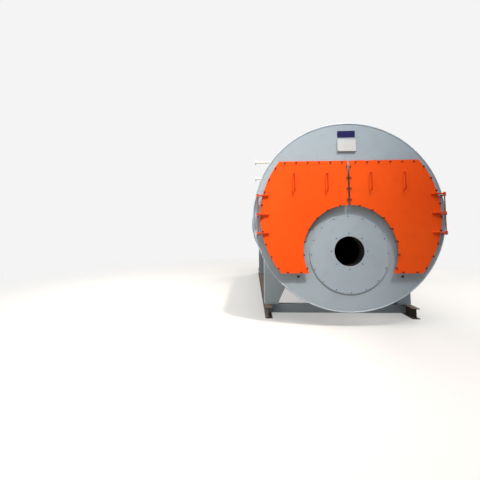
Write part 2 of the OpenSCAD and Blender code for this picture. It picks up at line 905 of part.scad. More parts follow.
// Fixed rod on the hinge axis, with the three lugs that carry it
module right_hinge_rod() {
    color("#d4452a") at_face() translate([hinge_x, -hinge_out, 0]) {
        translate([0, 0, rod_low]) cylinder(d = rod_d, h = rod_high - rod_low, $fn = 48);
        for (z = arm_zs) translate([0, 0, z - eye_h / 2 - seat - lug_t])
            linear_extrude(lug_t) {
                circle(r = eye_r, $fn = 48);
                translate([-lug_w / 2, 0]) square([lug_w, hinge_out - seat]);
            }
    }
}

module left_hinge_rod() {
    mirrored() right_hinge_rod();
}

module right_door() {
    color("#e8481f") at_face() slab(-door_out, -door_back) door_half(0, door_gap / 2);
}

module left_door() {
    mirrored() right_door();
}

// Upright round bar bent back to the door at both ends
module handle() {
    bend = handle_bend * handle_d;
    straight = handle_h / 2 - bend - handle_d / 2;
    translate([0, -handle_off, -straight]) cylinder(d = handle_d, h = 2 * straight, $fn = 32);
    for (s = [0, 1]) mirror([0, 0, s]) {
        translate([0, -handle_off + bend, straight]) rotate([0, -90, 0]) rotate([0, 0, -90])
            rotate_extrude(angle = 90, $fn = 32) translate([bend, 0]) circle(d = handle_d, $fn = 32);
        translate([0, 0, straight + bend]) bar_y(handle_d / 2, -handle_off + bend, 0, $fn = 32);
    }
}

module right_door_handles() {
    color("#e8481f") at_face() for (i = [0, 1])
        translate([handle_x + i * handle_step, -door_out, handle_z]) handle();
}

module left_door_handles() {
    mirrored() right_door_handles();
}

// Block of insulation that enters the frame when the door is shut
module right_door_lining() {
    color("#8a8375") at_face() slab(-door_back + seat, -door_back + seat + lining_t)
        door_half(open_set + lining_room, open_post + lining_room);
}

module left_door_lining() {
    mirrored() right_door_lining();
}

// Three flat arms from the door to eyes on the hinge rod
module right_hinge_arms() {
    front = hinge_out - door_out;
    color("#dd4a26") at_face() translate([hinge_x, -hinge_out, 0])
        for (z = arm_zs) translate([0, 0, z]) difference() {
            union() {
                translate([0, 0, -eye_h / 2]) cylinder(r = eye_r, h = eye_h, $fn = 48);
                translate([0, 0, -arm_t / 2]) linear_extrude(arm_t) polygon([
                    [-arm_len, front - seat],
                    [-arm_len, front - arm_out],
                    [-eye_r, -eye_r / 2],
                    [0, -eye_r / 2],
                    [0, eye_r / 2],
                    [-eye_r, front - seat]
                ]);
            }
            translate([0, 0, -eye_h]) cylinder(r = rod_d / 2 + run, h = 2 * eye_h, $fn = 48);
        }
}

module left_hinge_arms() {
    mirrored() right_hinge_arms();
}

front_plate();
end_rims();
left_smokebox_frame();
right_smokebox_frame();
door_seals();
front_tube_sheet();
fire_tubes();
furnace_tube();
burner_plate();
throat_refractory();
pressure_drum();
shell_cladding();
cladding_bands();
rear_tube_sheet();
rear_lining();
rear_plate();
rear_cover();
flue_outlet();
steam_outlet();
safety_nozzles();
manhole_neck();
manhole_cover();
feedwater_nozzle();
gauge_nozzles();
lifting_lugs();
drain_nipples();
left_skid();
right_skid();
cross_beams();
front_left_leg();
front_right_leg();
rear_left_leg();
rear_right_leg();
data_plate();
blank_blue_plate();
left_hinge_rod();
right_hinge_rod();
left_door();
right_door();
left_door_lining();
right_door_lining();
left_door_handles();
right_door_handles();
left_hinge_arms();
right_hinge_arms();
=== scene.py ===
"""Dresses a packaged fire-tube steam boiler: finishes, fixings, welds, seals, lamps and camera."""
import json
import math
import random

import bmesh
import bpy
from mathutils import Matrix, Vector


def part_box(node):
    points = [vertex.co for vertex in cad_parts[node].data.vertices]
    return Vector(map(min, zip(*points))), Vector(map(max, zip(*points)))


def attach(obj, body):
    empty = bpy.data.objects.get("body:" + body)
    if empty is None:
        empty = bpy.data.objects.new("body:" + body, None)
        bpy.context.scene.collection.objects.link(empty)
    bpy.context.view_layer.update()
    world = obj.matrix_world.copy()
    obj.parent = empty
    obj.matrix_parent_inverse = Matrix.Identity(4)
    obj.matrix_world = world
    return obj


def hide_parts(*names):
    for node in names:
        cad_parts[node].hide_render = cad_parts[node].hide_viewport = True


bl_info = {
    "name": "Steam boiler dresser",
    "version": (1, 0, 0),
    "blender": (4, 5, 0),
    "location": "View3D > Sidebar > Boiler",
    "description": "Adds finishes, fixings and welds to a fire-tube boiler and sets the stage",
    "category": "Object",
}

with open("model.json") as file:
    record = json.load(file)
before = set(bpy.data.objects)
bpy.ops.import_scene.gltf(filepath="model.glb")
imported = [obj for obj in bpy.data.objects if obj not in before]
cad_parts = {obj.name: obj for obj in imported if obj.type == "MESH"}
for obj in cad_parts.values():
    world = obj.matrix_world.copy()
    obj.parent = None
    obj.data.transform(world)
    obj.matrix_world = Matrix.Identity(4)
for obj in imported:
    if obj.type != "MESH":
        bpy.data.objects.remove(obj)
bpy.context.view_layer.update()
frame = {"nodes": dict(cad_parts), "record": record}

# Places read from the frame, in metres
FACE_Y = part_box("front_plate")[0].y
BACK_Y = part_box("rear_plate")[1].y
AXIS_Z = (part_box("end_rims")[0].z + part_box("end_rims")[1].z) / 2
# A hair inside the solid rims, so that rounding never passes them
RIM_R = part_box("end_rims")[1].x - 0.0001
RIM_INNER_R = RIM_R - 0.023
RIM_DEPTH = 0.060
RIM_STEPS = 360
DOOR_FRONT_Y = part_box("right_door")[0].y
DOOR_BACK_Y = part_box("right_door")[1].y
SHEET_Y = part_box("front_tube_sheet")[0].y
PLATE_FRONT_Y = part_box("burner_plate")[0].y
CLAD_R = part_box("shell_cladding")[1].x
BURNER_Z = -0.532
MANHOLE_Y = FACE_Y + 1.700
STEAM_Y = FACE_Y + 2.850
SAFETY_STEP = 0.480
FEED = (FACE_Y + 3.600, 0.700)
GAUGES = ((FACE_Y + 0.800, 1.040), (FACE_Y + 0.800, 0.740))
COVER_BACK_Y = BACK_Y + 0.0163
LIFTING = (FACE_Y + 1.150, BACK_Y - 1.150)
LIFTING_TILT = 14.0
BANDS = [FACE_Y + 0.350 + 0.980 * i for i in range(6)]
HALF_BAND = 0.030
SEAM_ANGLES = (-14.0, 194.0)

# The smokebox door's outline on the right, from the shell axis
DOOR_R = 1.341
DOOR_TOP = 0.843
DOOR_BOTTOM = 0.854
ARCH_R = 0.697
ARCH_Z = -0.530
HINGE_X = 1.378
# Heights of the three hinge arms of a door
ARM_LEVELS = (-0.250, 0.035, 0.320)


def linear(hex_colour):
    """Turns an sRGB hex colour into linear RGBA."""
    parts = [int(hex_colour[i:i + 2], 16) / 255 for i in (1, 3, 5)]
    return [c / 12.92 if c <= 0.04045 else ((c + 0.055) / 1.055) ** 2.4 for c in parts] + [1.0]


def in_front(x, z, y=None):
    """A point on the front, from its distance off the shell axis."""
    return Vector((x, FACE_Y if y is None else y, AXIS_Z + z))


# Materials


def add_node(tree, kind, inputs=None, **settings):
    """Adds a shader node with its settings, input values and links."""
    made = tree.nodes.new(kind)
    for name, value in settings.items():
        setattr(made, name, value)
    for name, value in (inputs or {}).items():
        if isinstance(value, bpy.types.NodeSocket):
            tree.links.new(value, made.inputs[name])
        else:
            made.inputs[name].default_value = value
    return made


def new_material(name, roughness, metallic=0.0, ior=None):
    """A material with its tree, its shader and Object coordinates."""
    material = bpy.data.materials.new(name)
    material.use_nodes = True
    tree = material.node_tree
    shader = tree.nodes["Principled BSDF"]
    shader.inputs["Roughness"].default_value = roughness
    shader.inputs["Metallic"].default_value = metallic
    if ior:
        shader.inputs["IOR"].default_value = ior
    place = add_node(tree, "ShaderNodeTexCoord").outputs["Object"]
    return material, tree, shader, place


def noise(tree, place, size_mm, detail=3.0, stretch=None):
    """Noise whose features are about size_mm wide."""
    if stretch:
        place = add_node(tree, "ShaderNodeMapping", {"Vector": place, "Scale": stretch}).outputs[0]
    made = add_node(tree, "ShaderNodeTexNoise",
                    {"Vector": place, "Scale": 1000 / size_mm, "Detail": detail})
    return made.outputs["Fac"]


def ramp(tree, fac, low, high, colours):
    """Colours spread between two values of a factor."""
    made = add_node(tree, "ShaderNodeValToRGB", {"Fac": fac})
    band = made.color_ramp
    band.elements[0].position, band.elements[1].position = low, high
    band.elements[0].color, band.elements[1].color = linear(colours[0]), linear(colours[-1])
    for i, colour in enumerate(colours[1:-1], 1):
        band.elements.new(low + (high - low) * i / (len(colours) - 1)).color = linear(colour)
    return made.outputs["Color"]


def spread(tree, fac, low, high):
    """Maps noise to a range of values."""
    made = add_node(tree, "ShaderNodeMapRange",
                    {"Value": fac, "From Min": 0.3, "From Max": 0.7, "To Min": low, "To Max": high})
    return made.outputs["Result"]


def mix(tree, fac, one, other, blend="MIX"):
    """Mixes two colours."""
    made = add_node(tree, "ShaderNodeMix", data_type="RGBA", blend_type=blend)
    for name, value in (("Factor", fac), ("A", one), ("B", other)):
        sockets = [s for s in made.inputs if s.name == name and s.enabled]
        if isinstance(value, bpy.types.NodeSocket):
            tree.links.new(value, sockets[0])
        else:
            sockets[0].default_value = value
    return [s for s in made.outputs if s.enabled][0]


def bump(tree, shader, height, strength, depth_mm, before=None):
    """Adds relief of a real depth to the shader's normal."""
    inputs = {"Height": height, "Strength": strength, "Distance": depth_mm / 1000}
    if before:
        inputs["Normal"] = before
    made = add_node(tree, "ShaderNodeBump", inputs)
    tree.links.new(made.outputs["Normal"], shader.inputs["Normal"])
    return made.outputs["Normal"]


def soft_edge(tree, radius_mm):
    """Catches light along plate edges as a ground or painted arris does."""
    return add_node(tree, "ShaderNodeBevel", {"Radius": radius_mm / 1000}, samples=4).outputs[0]


def facing_up(tree, low, high, most):
    """How much dust lies on a surface: none up to a tilt, and most where it faces straight up."""
    up = add_node(tree, "ShaderNodeSeparateXYZ",
                  {0: add_node(tree, "ShaderNodeNewGeometry").outputs["Normal"]}).outputs["Z"]
    made = add_node(tree, "ShaderNodeMapRange", {"Value": up, "From Min": low, "From Max": high,
                                                 "To Min": 0.0, "To Max": most})
    return made.outputs["Result"]


def sprayed_enamel(name, colour, paler, darker, roughness, specular):
    """Alkyd enamel sprayed on plate: an even colour with a faint drift, a low gloss, fine
    orange peel and thin grey dust that has settled where plates face up."""
    material, tree, shader, place = new_material(name, roughness, ior=1.5)
    shader.inputs["Specular IOR Level"].default_value = specular
    base = ramp(tree, noise(tree, place, 1400, 1.0), 0.35, 0.65, [darker, colour, paler])
    # Handling marks and overspray: thin clouds about a hand wide
    marks = ramp(tree, noise(tree, place, 160, 3.0), 0.5, 0.9, ["#ffffff", "#f3f1ee"])
    base = mix(tree, 1.0, base, marks, "MULTIPLY")
    base = mix(tree, facing_up(tree, 0.6, 1.0, 0.35), base, linear("#a59c90"))
    tree.links.new(base, shader.inputs["Base Color"])
    # Orange peel is about 2 mm across on the real paint, drawn at 6 mm so that it shows
    peel = bump(tree, shader, noise(tree, place, 6, 1.0), 0.12, 0.2, soft_edge(tree, 3))
    # Welded plate is never quite flat: long shallow waves
    bump(tree, shader, noise(tree, place, 900, 1.0), 0.2, 2.0, peel)
    return material


def stainless_sheet(name):
    """Thin polished stainless sheet over mineral wool: mirror-like, with shallow dents and
    smears."""
    material, tree, shader, place = new_material(name, 0.2, metallic=1.0)
    tone = noise(tree, place, 700, 2.0)
    tree.links.new(ramp(tree, tone, 0.3, 0.7, ["#b2b7ba", "#c4c8ca", "#d0d3d4"]),
                   shader.inputs["Base Color"])
    smear = noise(tree, place, 120, 5.0, (1.0, 0.25, 1.0))
    tree.links.new(spread(tree, smear, 0.17, 0.3), shader.inputs["Roughness"])
    waves = bump(tree, shader, noise(tree, place, 380, 1.5), 0.4, 5.0)
    # Polishing lines run round the shell
    bump(tree, shader, noise(tree, place, 4, 2.0, (0.05, 1.0, 0.05)), 0.08, 0.2, waves)
    return material


def bare_steel(name, colours, roughness, metallic, grit_mm=5, scale_mm=90, dust=0.0):
    """Rolled steel with mill scale and rust: blotches of oxide over a dull metal, with tan
    dust lying on what faces up."""
    material, tree, shader, place = new_material(name, roughness, metallic=metallic)
    blotch = noise(tree, place, scale_mm, 6.0)
    fine = noise(tree, place, grit_mm, 3.0)
    base = ramp(tree, blotch, 0.36, 0.66, colours)
    speck = ramp(tree, fine, 0.3, 0.75, ["#8a8a8a", "#ffffff"])
    base = mix(tree, 1.0, base, speck, "MULTIPLY")
    if dust:
        base = mix(tree, facing_up(tree, 0.3, 0.9, dust), base, linear("#7d6b5e"))
    tree.links.new(base, shader.inputs["Base Color"])
    tree.links.new(spread(tree, blotch, roughness - 0.1, roughness + 0.12),
                   shader.inputs["Roughness"])
    bump(tree, shader, fine, 0.4, 0.5, soft_edge(tree, 2))
    return material


def cast_refractory(name, tones):
    """Cast castable refractory: matt, sandy, with small pits and pale and dark grains."""
    material, tree, shader, place = new_material(name, 0.95)
    patch = ramp(tree, noise(tree, place, 130, 4.0), 0.3, 0.7, tones)
    grain = add_node(tree, "ShaderNodeTexVoronoi", {"Vector": place, "Scale": 1000 / 12})
    dark = ramp(tree, grain.outputs["Distance"], 0.0, 0.5, ["#6a6a6a", "#ffffff"])
    tree.links.new(mix(tree, 1.0, patch, dark, "MULTIPLY"), shader.inputs["Base Color"])
    rough = bump(tree, shader, noise(tree, place, 25, 6.0), 0.6, 3.0)
    bump(tree, shader, grain.outputs["Distance"], 0.4, 1.5, rough)
    return material


def chalky_primer(name):
    """Matt off-white primer brushed on pipes and flanges, with thin spots and handling marks."""
    material, tree, shader, place = new_material(name, 0.7, ior=1.45)
    tone = ramp(tree, noise(tree, place, 60, 5.0), 0.3, 0.7, ["#c4bfae", "#d8d3c4", "#e3dfd2"])
    marks = ramp(tree, noise(tree, place, 18, 5.0), 0.62, 0.78, ["#ffffff", "#a89a84"])
    tree.links.new(mix(tree, 1.0, tone, marks, "MULTIPLY"), shader.inputs["Base Color"])
    bump(tree, shader, noise(tree, place, 5, 3.0), 0.3, 0.4, soft_edge(tree, 1.5))
    return material


def braided_rope(name):
    """Glass-fibre sealing rope: matt, with plaits about 8 mm long across it."""
    material, tree, shader, place = new_material(name, 0.9)
    plait = add_node(tree, "ShaderNodeTexWave", {"Vector": place, "Scale": 20.0, "Distortion": 2.0},
                     bands_direction="DIAGONAL").outputs["Fac"]
    tree.links.new(ramp(tree, plait, 0.2, 0.8, ["#6b665b", "#9d988a"]), shader.inputs["Base Color"])
    bump(tree, shader, plait, 0.8, 2.0)
    return material


def lacquered_plate(name, colours):
    """Lacquered aluminium plate: flat even colour under a thin satin coat, a little rubbed."""
    material, tree, shader, place = new_material(name, 0.45, ior=1.5)
    shader.inputs["Specular IOR Level"].default_value = 0.3
    tone = ramp(tree, noise(tree, place, 70, 4.0), 0.35, 0.7, colours)
    tree.links.new(tone, shader.inputs["Base Color"])
    bump(tree, shader, noise(tree, place, 90, 1.0), 0.3, 0.8, soft_edge(tree, 1))
    return material


def plated_steel(name, colours):
    """Zinc-plated screws: dull bright metal, cloudy, a little browned in patches."""
    material, tree, shader, place = new_material(name, 0.38, metallic=1.0)
    tree.links.new(ramp(tree, noise(tree, place, 9, 3.0), 0.3, 0.7, colours),
                   shader.inputs["Base Color"])
    bump(tree, shader, noise(tree, place, 2, 2.0), 0.3, 0.15, soft_edge(tree, 1))
    return material


def sight_pane(name):
    """Dark tempered glass with soot behind it: nearly black, smooth and sharply glossy."""
    material, tree, shader, place = new_material(name, 0.06, ior=1.52)
    tree.links.new(ramp(tree, noise(tree, place, 30, 3.0), 0.3, 0.7, ["#0c0b0a", "#1d1613"]),
                   shader.inputs["Base Color"])
    return material


def make_finishes(look):
    """Every finish by its material slot, and the ones only pieces use."""
    return {
        "grey_enamel": sprayed_enamel("grey_alkyd_enamel", look.grey, "#a5b0b7", "#9ba6ad",
                                      0.5, 0.4),
        "orange_enamel": sprayed_enamel("orange_alkyd_enamel", look.orange, "#f95817", "#f35013",
                                        0.5, 0.12),
        # The handles are painted a darker orange as shade: the real bars carry the doors' paint and
        # look dark from their shadowed sides
        "handle": sprayed_enamel("painted_shade_handle_enamel", "#b9330f", "#c63b12", "#a32a0c", 0.5, 0.12),
        # The hinge arms are painted a darker orange than the doors as shade, to deepen their
        # shadowed undersides
        "arm": sprayed_enamel("painted_shade_arm_enamel", "#dc4514", "#e44b16", "#cf3e12", 0.5, 0.12),
        # The rolled rim is painted a lighter grey than the face as a highlight along its round, and
        # took a glossier coat that shines
        "rim": sprayed_enamel("glossy_painted_highlight_rim_enamel", "#b2bdc5", "#b8c3ca", "#abb6be", 0.3, 0.5),
        # The frames behind the doors are painted dark grey as shade, for the shadowed band along
        # the door edges
        "shaded_frame": sprayed_enamel("painted_shade_frame_enamel", "#54595c", "#5c6163", "#4a4e50", 0.7, 0.2),
        "stainless_sheet": stainless_sheet("polished_stainless_sheet"),
        "primer": chalky_primer("off_white_primer"),
        "refractory": cast_refractory("castable_refractory", ["#4d483d", "#69614f", "#7d7463"]),
        # The throat's refractory is near black, far darker than the door lining
        "throat": cast_refractory("near_black_throat_refractory", ["#0d0c09", "#141310", "#1e1c18"]),
        "rope_seal": braided_rope("glass_fibre_rope"),
        "boiler_steel": bare_steel("boiler_steel_plate", ["#2e2722", "#4a3b30", "#5d4636"],
                                   0.7, 0.35),
        "mill_steel": bare_steel("dusty_rolled_beam", ["#3b3734", "#4a433e", "#5d4c40"], 0.75, 0.15,
                                 dust=0.8),
        "white_plate": lacquered_plate("white_lacquered_plate", ["#c6c6c4", "#cdcdcb"]),
        "blue_plate": lacquered_plate("blue_lacquered_plate", ["#0c0b42", "#12114c"]),
        "zinc": plated_steel("zinc_plated_steel", ["#6d6c66", "#8c8c88", "#a3a3a0"]),
        # Door screws are oxide brown that reads nearly black; the dark partly stands in as painted
        # shade under and beside their heads
        "oxide": bare_steel("dark_screw_with_painted_shade", ["#38120a", "#4a170b", "#6a2413"], 0.45, 0.3,
                            3, 20),
        # The rods were dusted by the orange spray, and show bare steel through it
        "rod": bare_steel("oversprayed_rod", ["#8f5548", "#a66e60", "#b78878"], 0.5, 0.1, 4, 60),
        "pane": sight_pane("sight_glass"),
    }


FINISHES = {}


def finish_for(obj, name):
    """Gives a piece its finish."""
    obj.data.materials.clear()
    obj.data.materials.append(FINISHES[name])


# Shapes


def new_piece(name, bm, body, finish, smooth=40):
    """Makes an object from a bmesh, with its place in its mesh, riding on a body."""
    bmesh.ops.remove_doubles(bm, verts=bm.verts, dist=0.00002)
    bmesh.ops.recalc_face_normals(bm, faces=bm.faces)
    mesh = bpy.data.meshes.new(name)
    bm.to_mesh(mesh)
    bm.free()
    piece = bpy.data.objects.new(name, mesh)
    bpy.context.scene.collection.objects.link(piece)
    mesh.shade_smooth()
    mesh.set_sharp_from_angle(angle=math.radians(smooth))
    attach(piece, body)
    finish_for(piece, finish)
    return piece


def facing(point, direction):
    """Matrix that puts +Z along a direction at a point."""
    turn = Vector(direction).to_track_quat("Z", "Y").to_matrix().to_4x4()
    return Matrix.Translation(point) @ turn


def drum_part(bm, place, radius, low, high, segments=24, top=None):
    """A closed round or hexagonal length along a place's Z, from low to high."""
    bmesh.ops.create_cone(
        bm, cap_ends=True, segments=segments, radius1=radius,
        radius2=radius if top is None else top, depth=high - low,
        matrix=place @ Matrix.Translation((0, 0, (low + high) / 2)))


def hex_screw(bm, point, direction, across, washer=True, stud=0.0):
    """Washer, chamfered hexagon and stud end, standing on a point."""
    place = facing(point, direction)
    corner = across / 2 / math.cos(math.radians(30))
    base = 0.0
    if washer:
        drum_part(bm, place, across * 0.92, 0, across * 0.1)
        base = across * 0.1
    top = base + across * 0.6
    drum_part(bm, place, corner, base, top, 6)
    drum_part(bm, place, across * 0.5, top, top + across * 0.06, 24, across * 0.44)
    if stud:
        tip = top + stud
        drum_part(bm, place, across * 0.32, top, tip, 16)
        drum_part(bm, place, across * 0.32, tip, tip + across * 0.08, 16, across * 0.2)


def sweep(bm, points, radius, sides=8, closed=False):
    """A bead of round section along points, made by joining rings with bridges."""
    rings = []
    count = len(points)
    for i, point in enumerate(points):
        ahead = points[(i + 1) % count] if closed or i < count - 1 else point
        behind = points[i - 1] if closed or i > 0 else point
        place = facing(point, ahead - behind)
        made = bmesh.ops.create_circle(bm, segments=sides, radius=radius, matrix=place)
        verts = made["verts"]
        rings.append(sorted({e for v in verts for e in v.link_edges}, key=lambda e: e.index))
    pairs = list(zip(rings, rings[1:])) + ([(rings[-1], rings[0])] if closed else [])
    for one, other in pairs:
        bmesh.ops.bridge_loops(bm, edges=one + other)
    if not closed:
        bmesh.ops.holes_fill(bm, edges=rings[0] + rings[-1], sides=0)


def circle_points(centre, radius, normal, count, start=0.0):
    """Points along a circle about a normal, from a start angle in degrees."""
    place = facing(centre, normal)
    angles = [math.radians(start + 360.0 * i / count) for i in range(count)]
    return [place @ Vector((radius * math.cos(a), radius * math.sin(a), 0)) for a in angles]


def ripple(points, size, seed):
    """Moves points a little, as a hand-made weld wanders."""
    draw = random.Random(seed)
    return [p + Vector([draw.uniform(-size, size) for _ in range(3)]) for p in points]


def along(start, finish, step=0.02):
    """Points from one place to another, about a step apart."""
    count = max(2, round((finish - start).length / step) + 1)
    return [start.lerp(finish, i / (count - 1)) for i in range(count)]


def polyline(corners, step=0.02):
    """Points through several corners."""
    points = [corners[0]]
    for one, other in zip(corners, corners[1:]):
        points += along(one, other, step)[1:]
    return points


def bead(bm, points, radius, seed=1, closed=False):
    """A hand-laid weld bead or a run of sealant."""
    sweep(bm, ripple(points, radius * 0.12, seed), radius, 6, closed)


def door_loop(inset, post, y, sign, step=0.03):
    """Points round a door's outline drawn in by an inset, with its inner edge at post."""
    radius, arch = DOOR_R - inset, ARCH_R + inset
    top, bottom = DOOR_TOP - inset, DOOR_BOTTOM - inset
    high, low = math.asin(top / radius), -math.asin(bottom / radius)
    foot = math.asin((-bottom - ARCH_Z) / arch)
    crown = math.acos(post / arch)

    def arc(r, z, a0, a1):
        count = max(2, round(r * abs(a1 - a0) / step))
        return [in_front(sign * r * math.cos(a0 + (a1 - a0) * i / count),
                         z + r * math.sin(a0 + (a1 - a0) * i / count), y)
                for i in range(count + 1)]

    outer, inner = arc(radius, 0, high, low), arc(arch, ARCH_Z, foot, crown)
    start = in_front(sign * post, top, y)
    return (along(start, outer[0], step)[:-1] + outer + along(outer[-1], inner[0], step)[1:-1]
            + inner + along(inner[-1], start, step)[1:-1])


def on_shell(kind, y, level, radius, grow=0.0, count=64):
    """A ring round a pipe where it leaves the cladding: "up" at the crown, "left" or "right" at
    a level above the axis."""
    points = []
    for i in range(count):
        a = 2 * math.pi * i / count
        u, v = radius * math.cos(a), radius * math.sin(a)
        if kind == "up":
            points.append(Vector((u, y + v, AXIS_Z + math.sqrt((CLAD_R + grow) ** 2 - u * u))))
        else:
            side = -1 if kind == "left" else 1
            z = level + u
            points.append(Vector((side * math.sqrt((CLAD_R + grow) ** 2 - z * z), y + side * v,
                                  AXIS_Z + z)))
    return points


def ring_edges(bm, points):
    """A closed ring of edges through points."""
    verts = [bm.verts.new(p) for p in points]
    return [bm.edges.new((verts[i - 1], verts[i])) for i in range(len(verts))]


def flashing(bm, inner, outer, thickness):
    """A sheet collar between two rings, with its thickness."""
    made = bmesh.ops.bridge_loops(bm, edges=ring_edges(bm, inner) + ring_edges(bm, outer))
    bmesh.ops.recalc_face_normals(bm, faces=made["faces"])
    bmesh.ops.solidify(bm, geom=made["faces"], thickness=thickness)


def sheet_screw(bm, place, across):
    """Flat-headed self-tapping screw with a sealing washer, a few faces each."""
    drum_part(bm, place, across * 0.9, 0.0, across * 0.12, 12)
    drum_part(bm, place, across * 0.5, across * 0.12, across * 0.6, 6)


def round_shell(angle, y, lift=0.0):
    """A place on the cladding at an angle round it, with +Z pointing away from the axis."""
    a = math.radians(angle)
    out = Vector((math.cos(a), 0, math.sin(a)))
    return facing(Vector((0, y, AXIS_Z)) + out * (CLAD_R + lift), out)


def bolted_ring(bm, centre, radius, normal, count, across, start=0.0, **kind):
    """Screws on a circle."""
    for point in circle_points(centre, radius, normal, count, start):
        hex_screw(bm, point, normal, across, **kind)


class BoilerSizes(bpy.types.PropertyGroup):
    """Sizes of the fixings and beads"""

    screw_across: bpy.props.FloatProperty(
        name="Door screw", description="Width across flats of a door screw",
        default=0.021, unit="LENGTH")
    screw_drift: bpy.props.FloatProperty(
        name="Screw drift", description="Distance by which the door screws stand to the right",
        default=0.007, unit="LENGTH")
    plate_screw: bpy.props.FloatProperty(
        name="Burner plate screw", description="Width across flats of a burner plate screw",
        default=0.013, unit="LENGTH")
    cover_screw: bpy.props.FloatProperty(
        name="Cover nut", description="Width across flats of the nuts on the bolted covers",
        default=0.030, unit="LENGTH")
    sheet_screw: bpy.props.FloatProperty(
        name="Cladding screw", description="Width across flats of a cladding screw",
        default=0.010, unit="LENGTH")
    weld_r: bpy.props.FloatProperty(
        name="Weld", description="Radius of a weld bead", default=0.005, unit="LENGTH")
    fine_weld_r: bpy.props.FloatProperty(
        name="Fine weld", description="Radius of the weld beads on the doors and tubes",
        default=0.003, unit="LENGTH")
    collar_w: bpy.props.FloatProperty(
        name="Collar", description="Width of the sheet collars round the pipes",
        default=0.035, unit="LENGTH")
    camera_height: bpy.props.FloatProperty(
        name="Camera height", description="Height of the camera above the floor",
        default=AXIS_Z - 0.220, unit="LENGTH")
    camera_back: bpy.props.FloatProperty(
        name="Camera distance", description="Distance of the camera in front of the boiler's face",
        default=4.449, unit="LENGTH")
    camera_left: bpy.props.FloatProperty(
        name="Camera offset", description="Distance of the camera left of the boiler's middle",
        default=1.477, unit="LENGTH")


class BoilerLook(bpy.types.PropertyGroup):
    """Colours of the boiler"""

    grey: bpy.props.StringProperty(
        name="Grey", description="sRGB hex colour of the grey enamel", default="#a0abb2")
    orange: bpy.props.StringProperty(
        name="Orange", description="sRGB hex colour of the orange enamel", default="#f75415")
    floor: bpy.props.StringProperty(
        name="Floor", description="sRGB hex colour of the floor", default="#cbc4bb")


class BOILER_OT_finishes(bpy.types.Operator):
    """Gives every CAD node the finish of its material slot, or a finish of its own for a few"""

    bl_idname = "boiler.finishes"
    bl_label = "Finish the boiler's own parts"

    def execute(self, context):
        FINISHES.update(make_finishes(context.scene.boiler_look))
        slots = {s["node"]: s["material_slot"] for s in frame["record"]["subparts"]}
        own = {"throat_refractory": "throat", "left_hinge_rod": "rod", "right_hinge_rod": "rod",
               "left_smokebox_frame": "shaded_frame", "right_smokebox_frame": "shaded_frame",
               "left_door_handles": "handle", "right_door_handles": "handle",
               "left_hinge_arms": "arm", "right_hinge_arms": "arm"}
        for name, obj in frame["nodes"].items():
            finish_for(obj, own.get(name, slots[name]))
        return {"FINISHED"}


def arc_spots(radius, centre_z, angles):
    """Points on an arc, as x and z from the shell axis."""
    return [(radius * math.cos(math.radians(a)), centre_z + radius * math.sin(math.radians(a)))
            for a in angles]


def door_screw_spots(sign, drift):
    """Screws of a door, as x and z from the shell axis: 6 along the top, 9 down the outer arc, 7
    round the arch, 2 at the bottom and 4 up the middle. All but the four up the middle are drilled
    a drift to one side."""
    spots = [(0.101 + 0.173 * k, DOOR_TOP - 0.024) for k in range(6)]
    spots += arc_spots(DOOR_R - 0.009, 0, [33.7 - 8.68 * k for k in range(9)])
    spots += arc_spots(ARCH_R + 0.003, ARCH_Z, [78.2 - 16.5 * k for k in range(7)])
    spots += [(0.946, 0.017 - DOOR_BOTTOM), (0.745, 0.017 - DOOR_BOTTOM)]
    placed = [(sign * x + drift, z) for x, z in spots]
    return placed + [(sign * 0.026, z) for z in (0.750, 0.580, 0.415, 0.245)]


SIDES = (("left", -1), ("right", 1))


class BOILER_OT_door_screws(bpy.types.Operator):
    """Screws along the edges of both doors, with their shanks in the gap behind"""

    bl_idname = "boiler.door_screws"
    bl_label = "Add the door screws"

    def execute(self, context):
        sizes = context.scene.boiler_sizes
        for side, sign in SIDES:
            heads, shanks = bmesh.new(), bmesh.new()
            for x, z in door_screw_spots(sign, sizes.screw_drift):
                hex_screw(heads, in_front(x, z, DOOR_FRONT_Y), (0, -1, 0), sizes.screw_across,
                          washer=False)
                back = facing(in_front(x, z, DOOR_BACK_Y), (0, 1, 0))
                drum_part(shanks, back, sizes.screw_across * 0.36, 0, 0.046, 16)
                drum_part(shanks, back, sizes.screw_across * 0.577, 0, sizes.screw_across * 0.6, 6)
            new_piece(side + "_door_screws", heads, side + "_smokebox_door", "oxide")
            new_piece(side + "_door_screw_shanks", shanks, side + "_smokebox_door", "oxide")
        return {"FINISHED"}


class BOILER_OT_door_welds(bpy.types.Operator):
    """Weld beads of the handles and hinge arms on the doors, and of the hinge lugs"""

    bl_idname = "boiler.door_welds"
    bl_label = "Add the door welds"

    def execute(self, context):
        fine = context.scene.boiler_sizes.fine_weld_r
        bar, half_arm, arm_end = 0.0075, 0.009, 1.207
        half_lug, lug_h, lug_drop = 0.016, 0.016, 0.0183
        for side, sign in SIDES:
            body = side + "_smokebox_door"
            bm = bmesh.new()
            lo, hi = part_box(side + "_door_handles")
            for x in (lo.x + bar, hi.x - bar):
                for z in (lo.z + bar, hi.z - bar):
                    ring = circle_points(Vector((x, DOOR_FRONT_Y, z)), bar + fine * 0.6,
                                         (0, -1, 0), 20)
                    bead(bm, ring, fine, 3, True)
            for z in ARM_LEVELS:
                edge = math.sqrt(DOOR_R ** 2 - z ** 2) - 0.006
                corners = [in_front(sign * x, z + up, DOOR_FRONT_Y) for x, up in
                           ((edge, half_arm), (arm_end, half_arm), (arm_end, -half_arm),
                            (edge, -half_arm))]
                bead(bm, polyline(corners, 0.012), fine, 4)
            new_piece(side + "_door_welds", bm, body, "orange_enamel")
            bm = bmesh.new()
            for z in ARM_LEVELS:
                high = z - lug_drop
                low = high - lug_h
                corners = [in_front(sign * HINGE_X + x, up) for x, up in
                           ((-half_lug, low), (half_lug, low), (half_lug, high),
                            (-half_lug, high), (-half_lug, low))]
                bead(bm, polyline(corners, 0.012)[:-1], fine * 1.3, 5, True)
            new_piece(side + "_lug_welds", bm, "boiler", "orange_enamel")
        return {"FINISHED"}


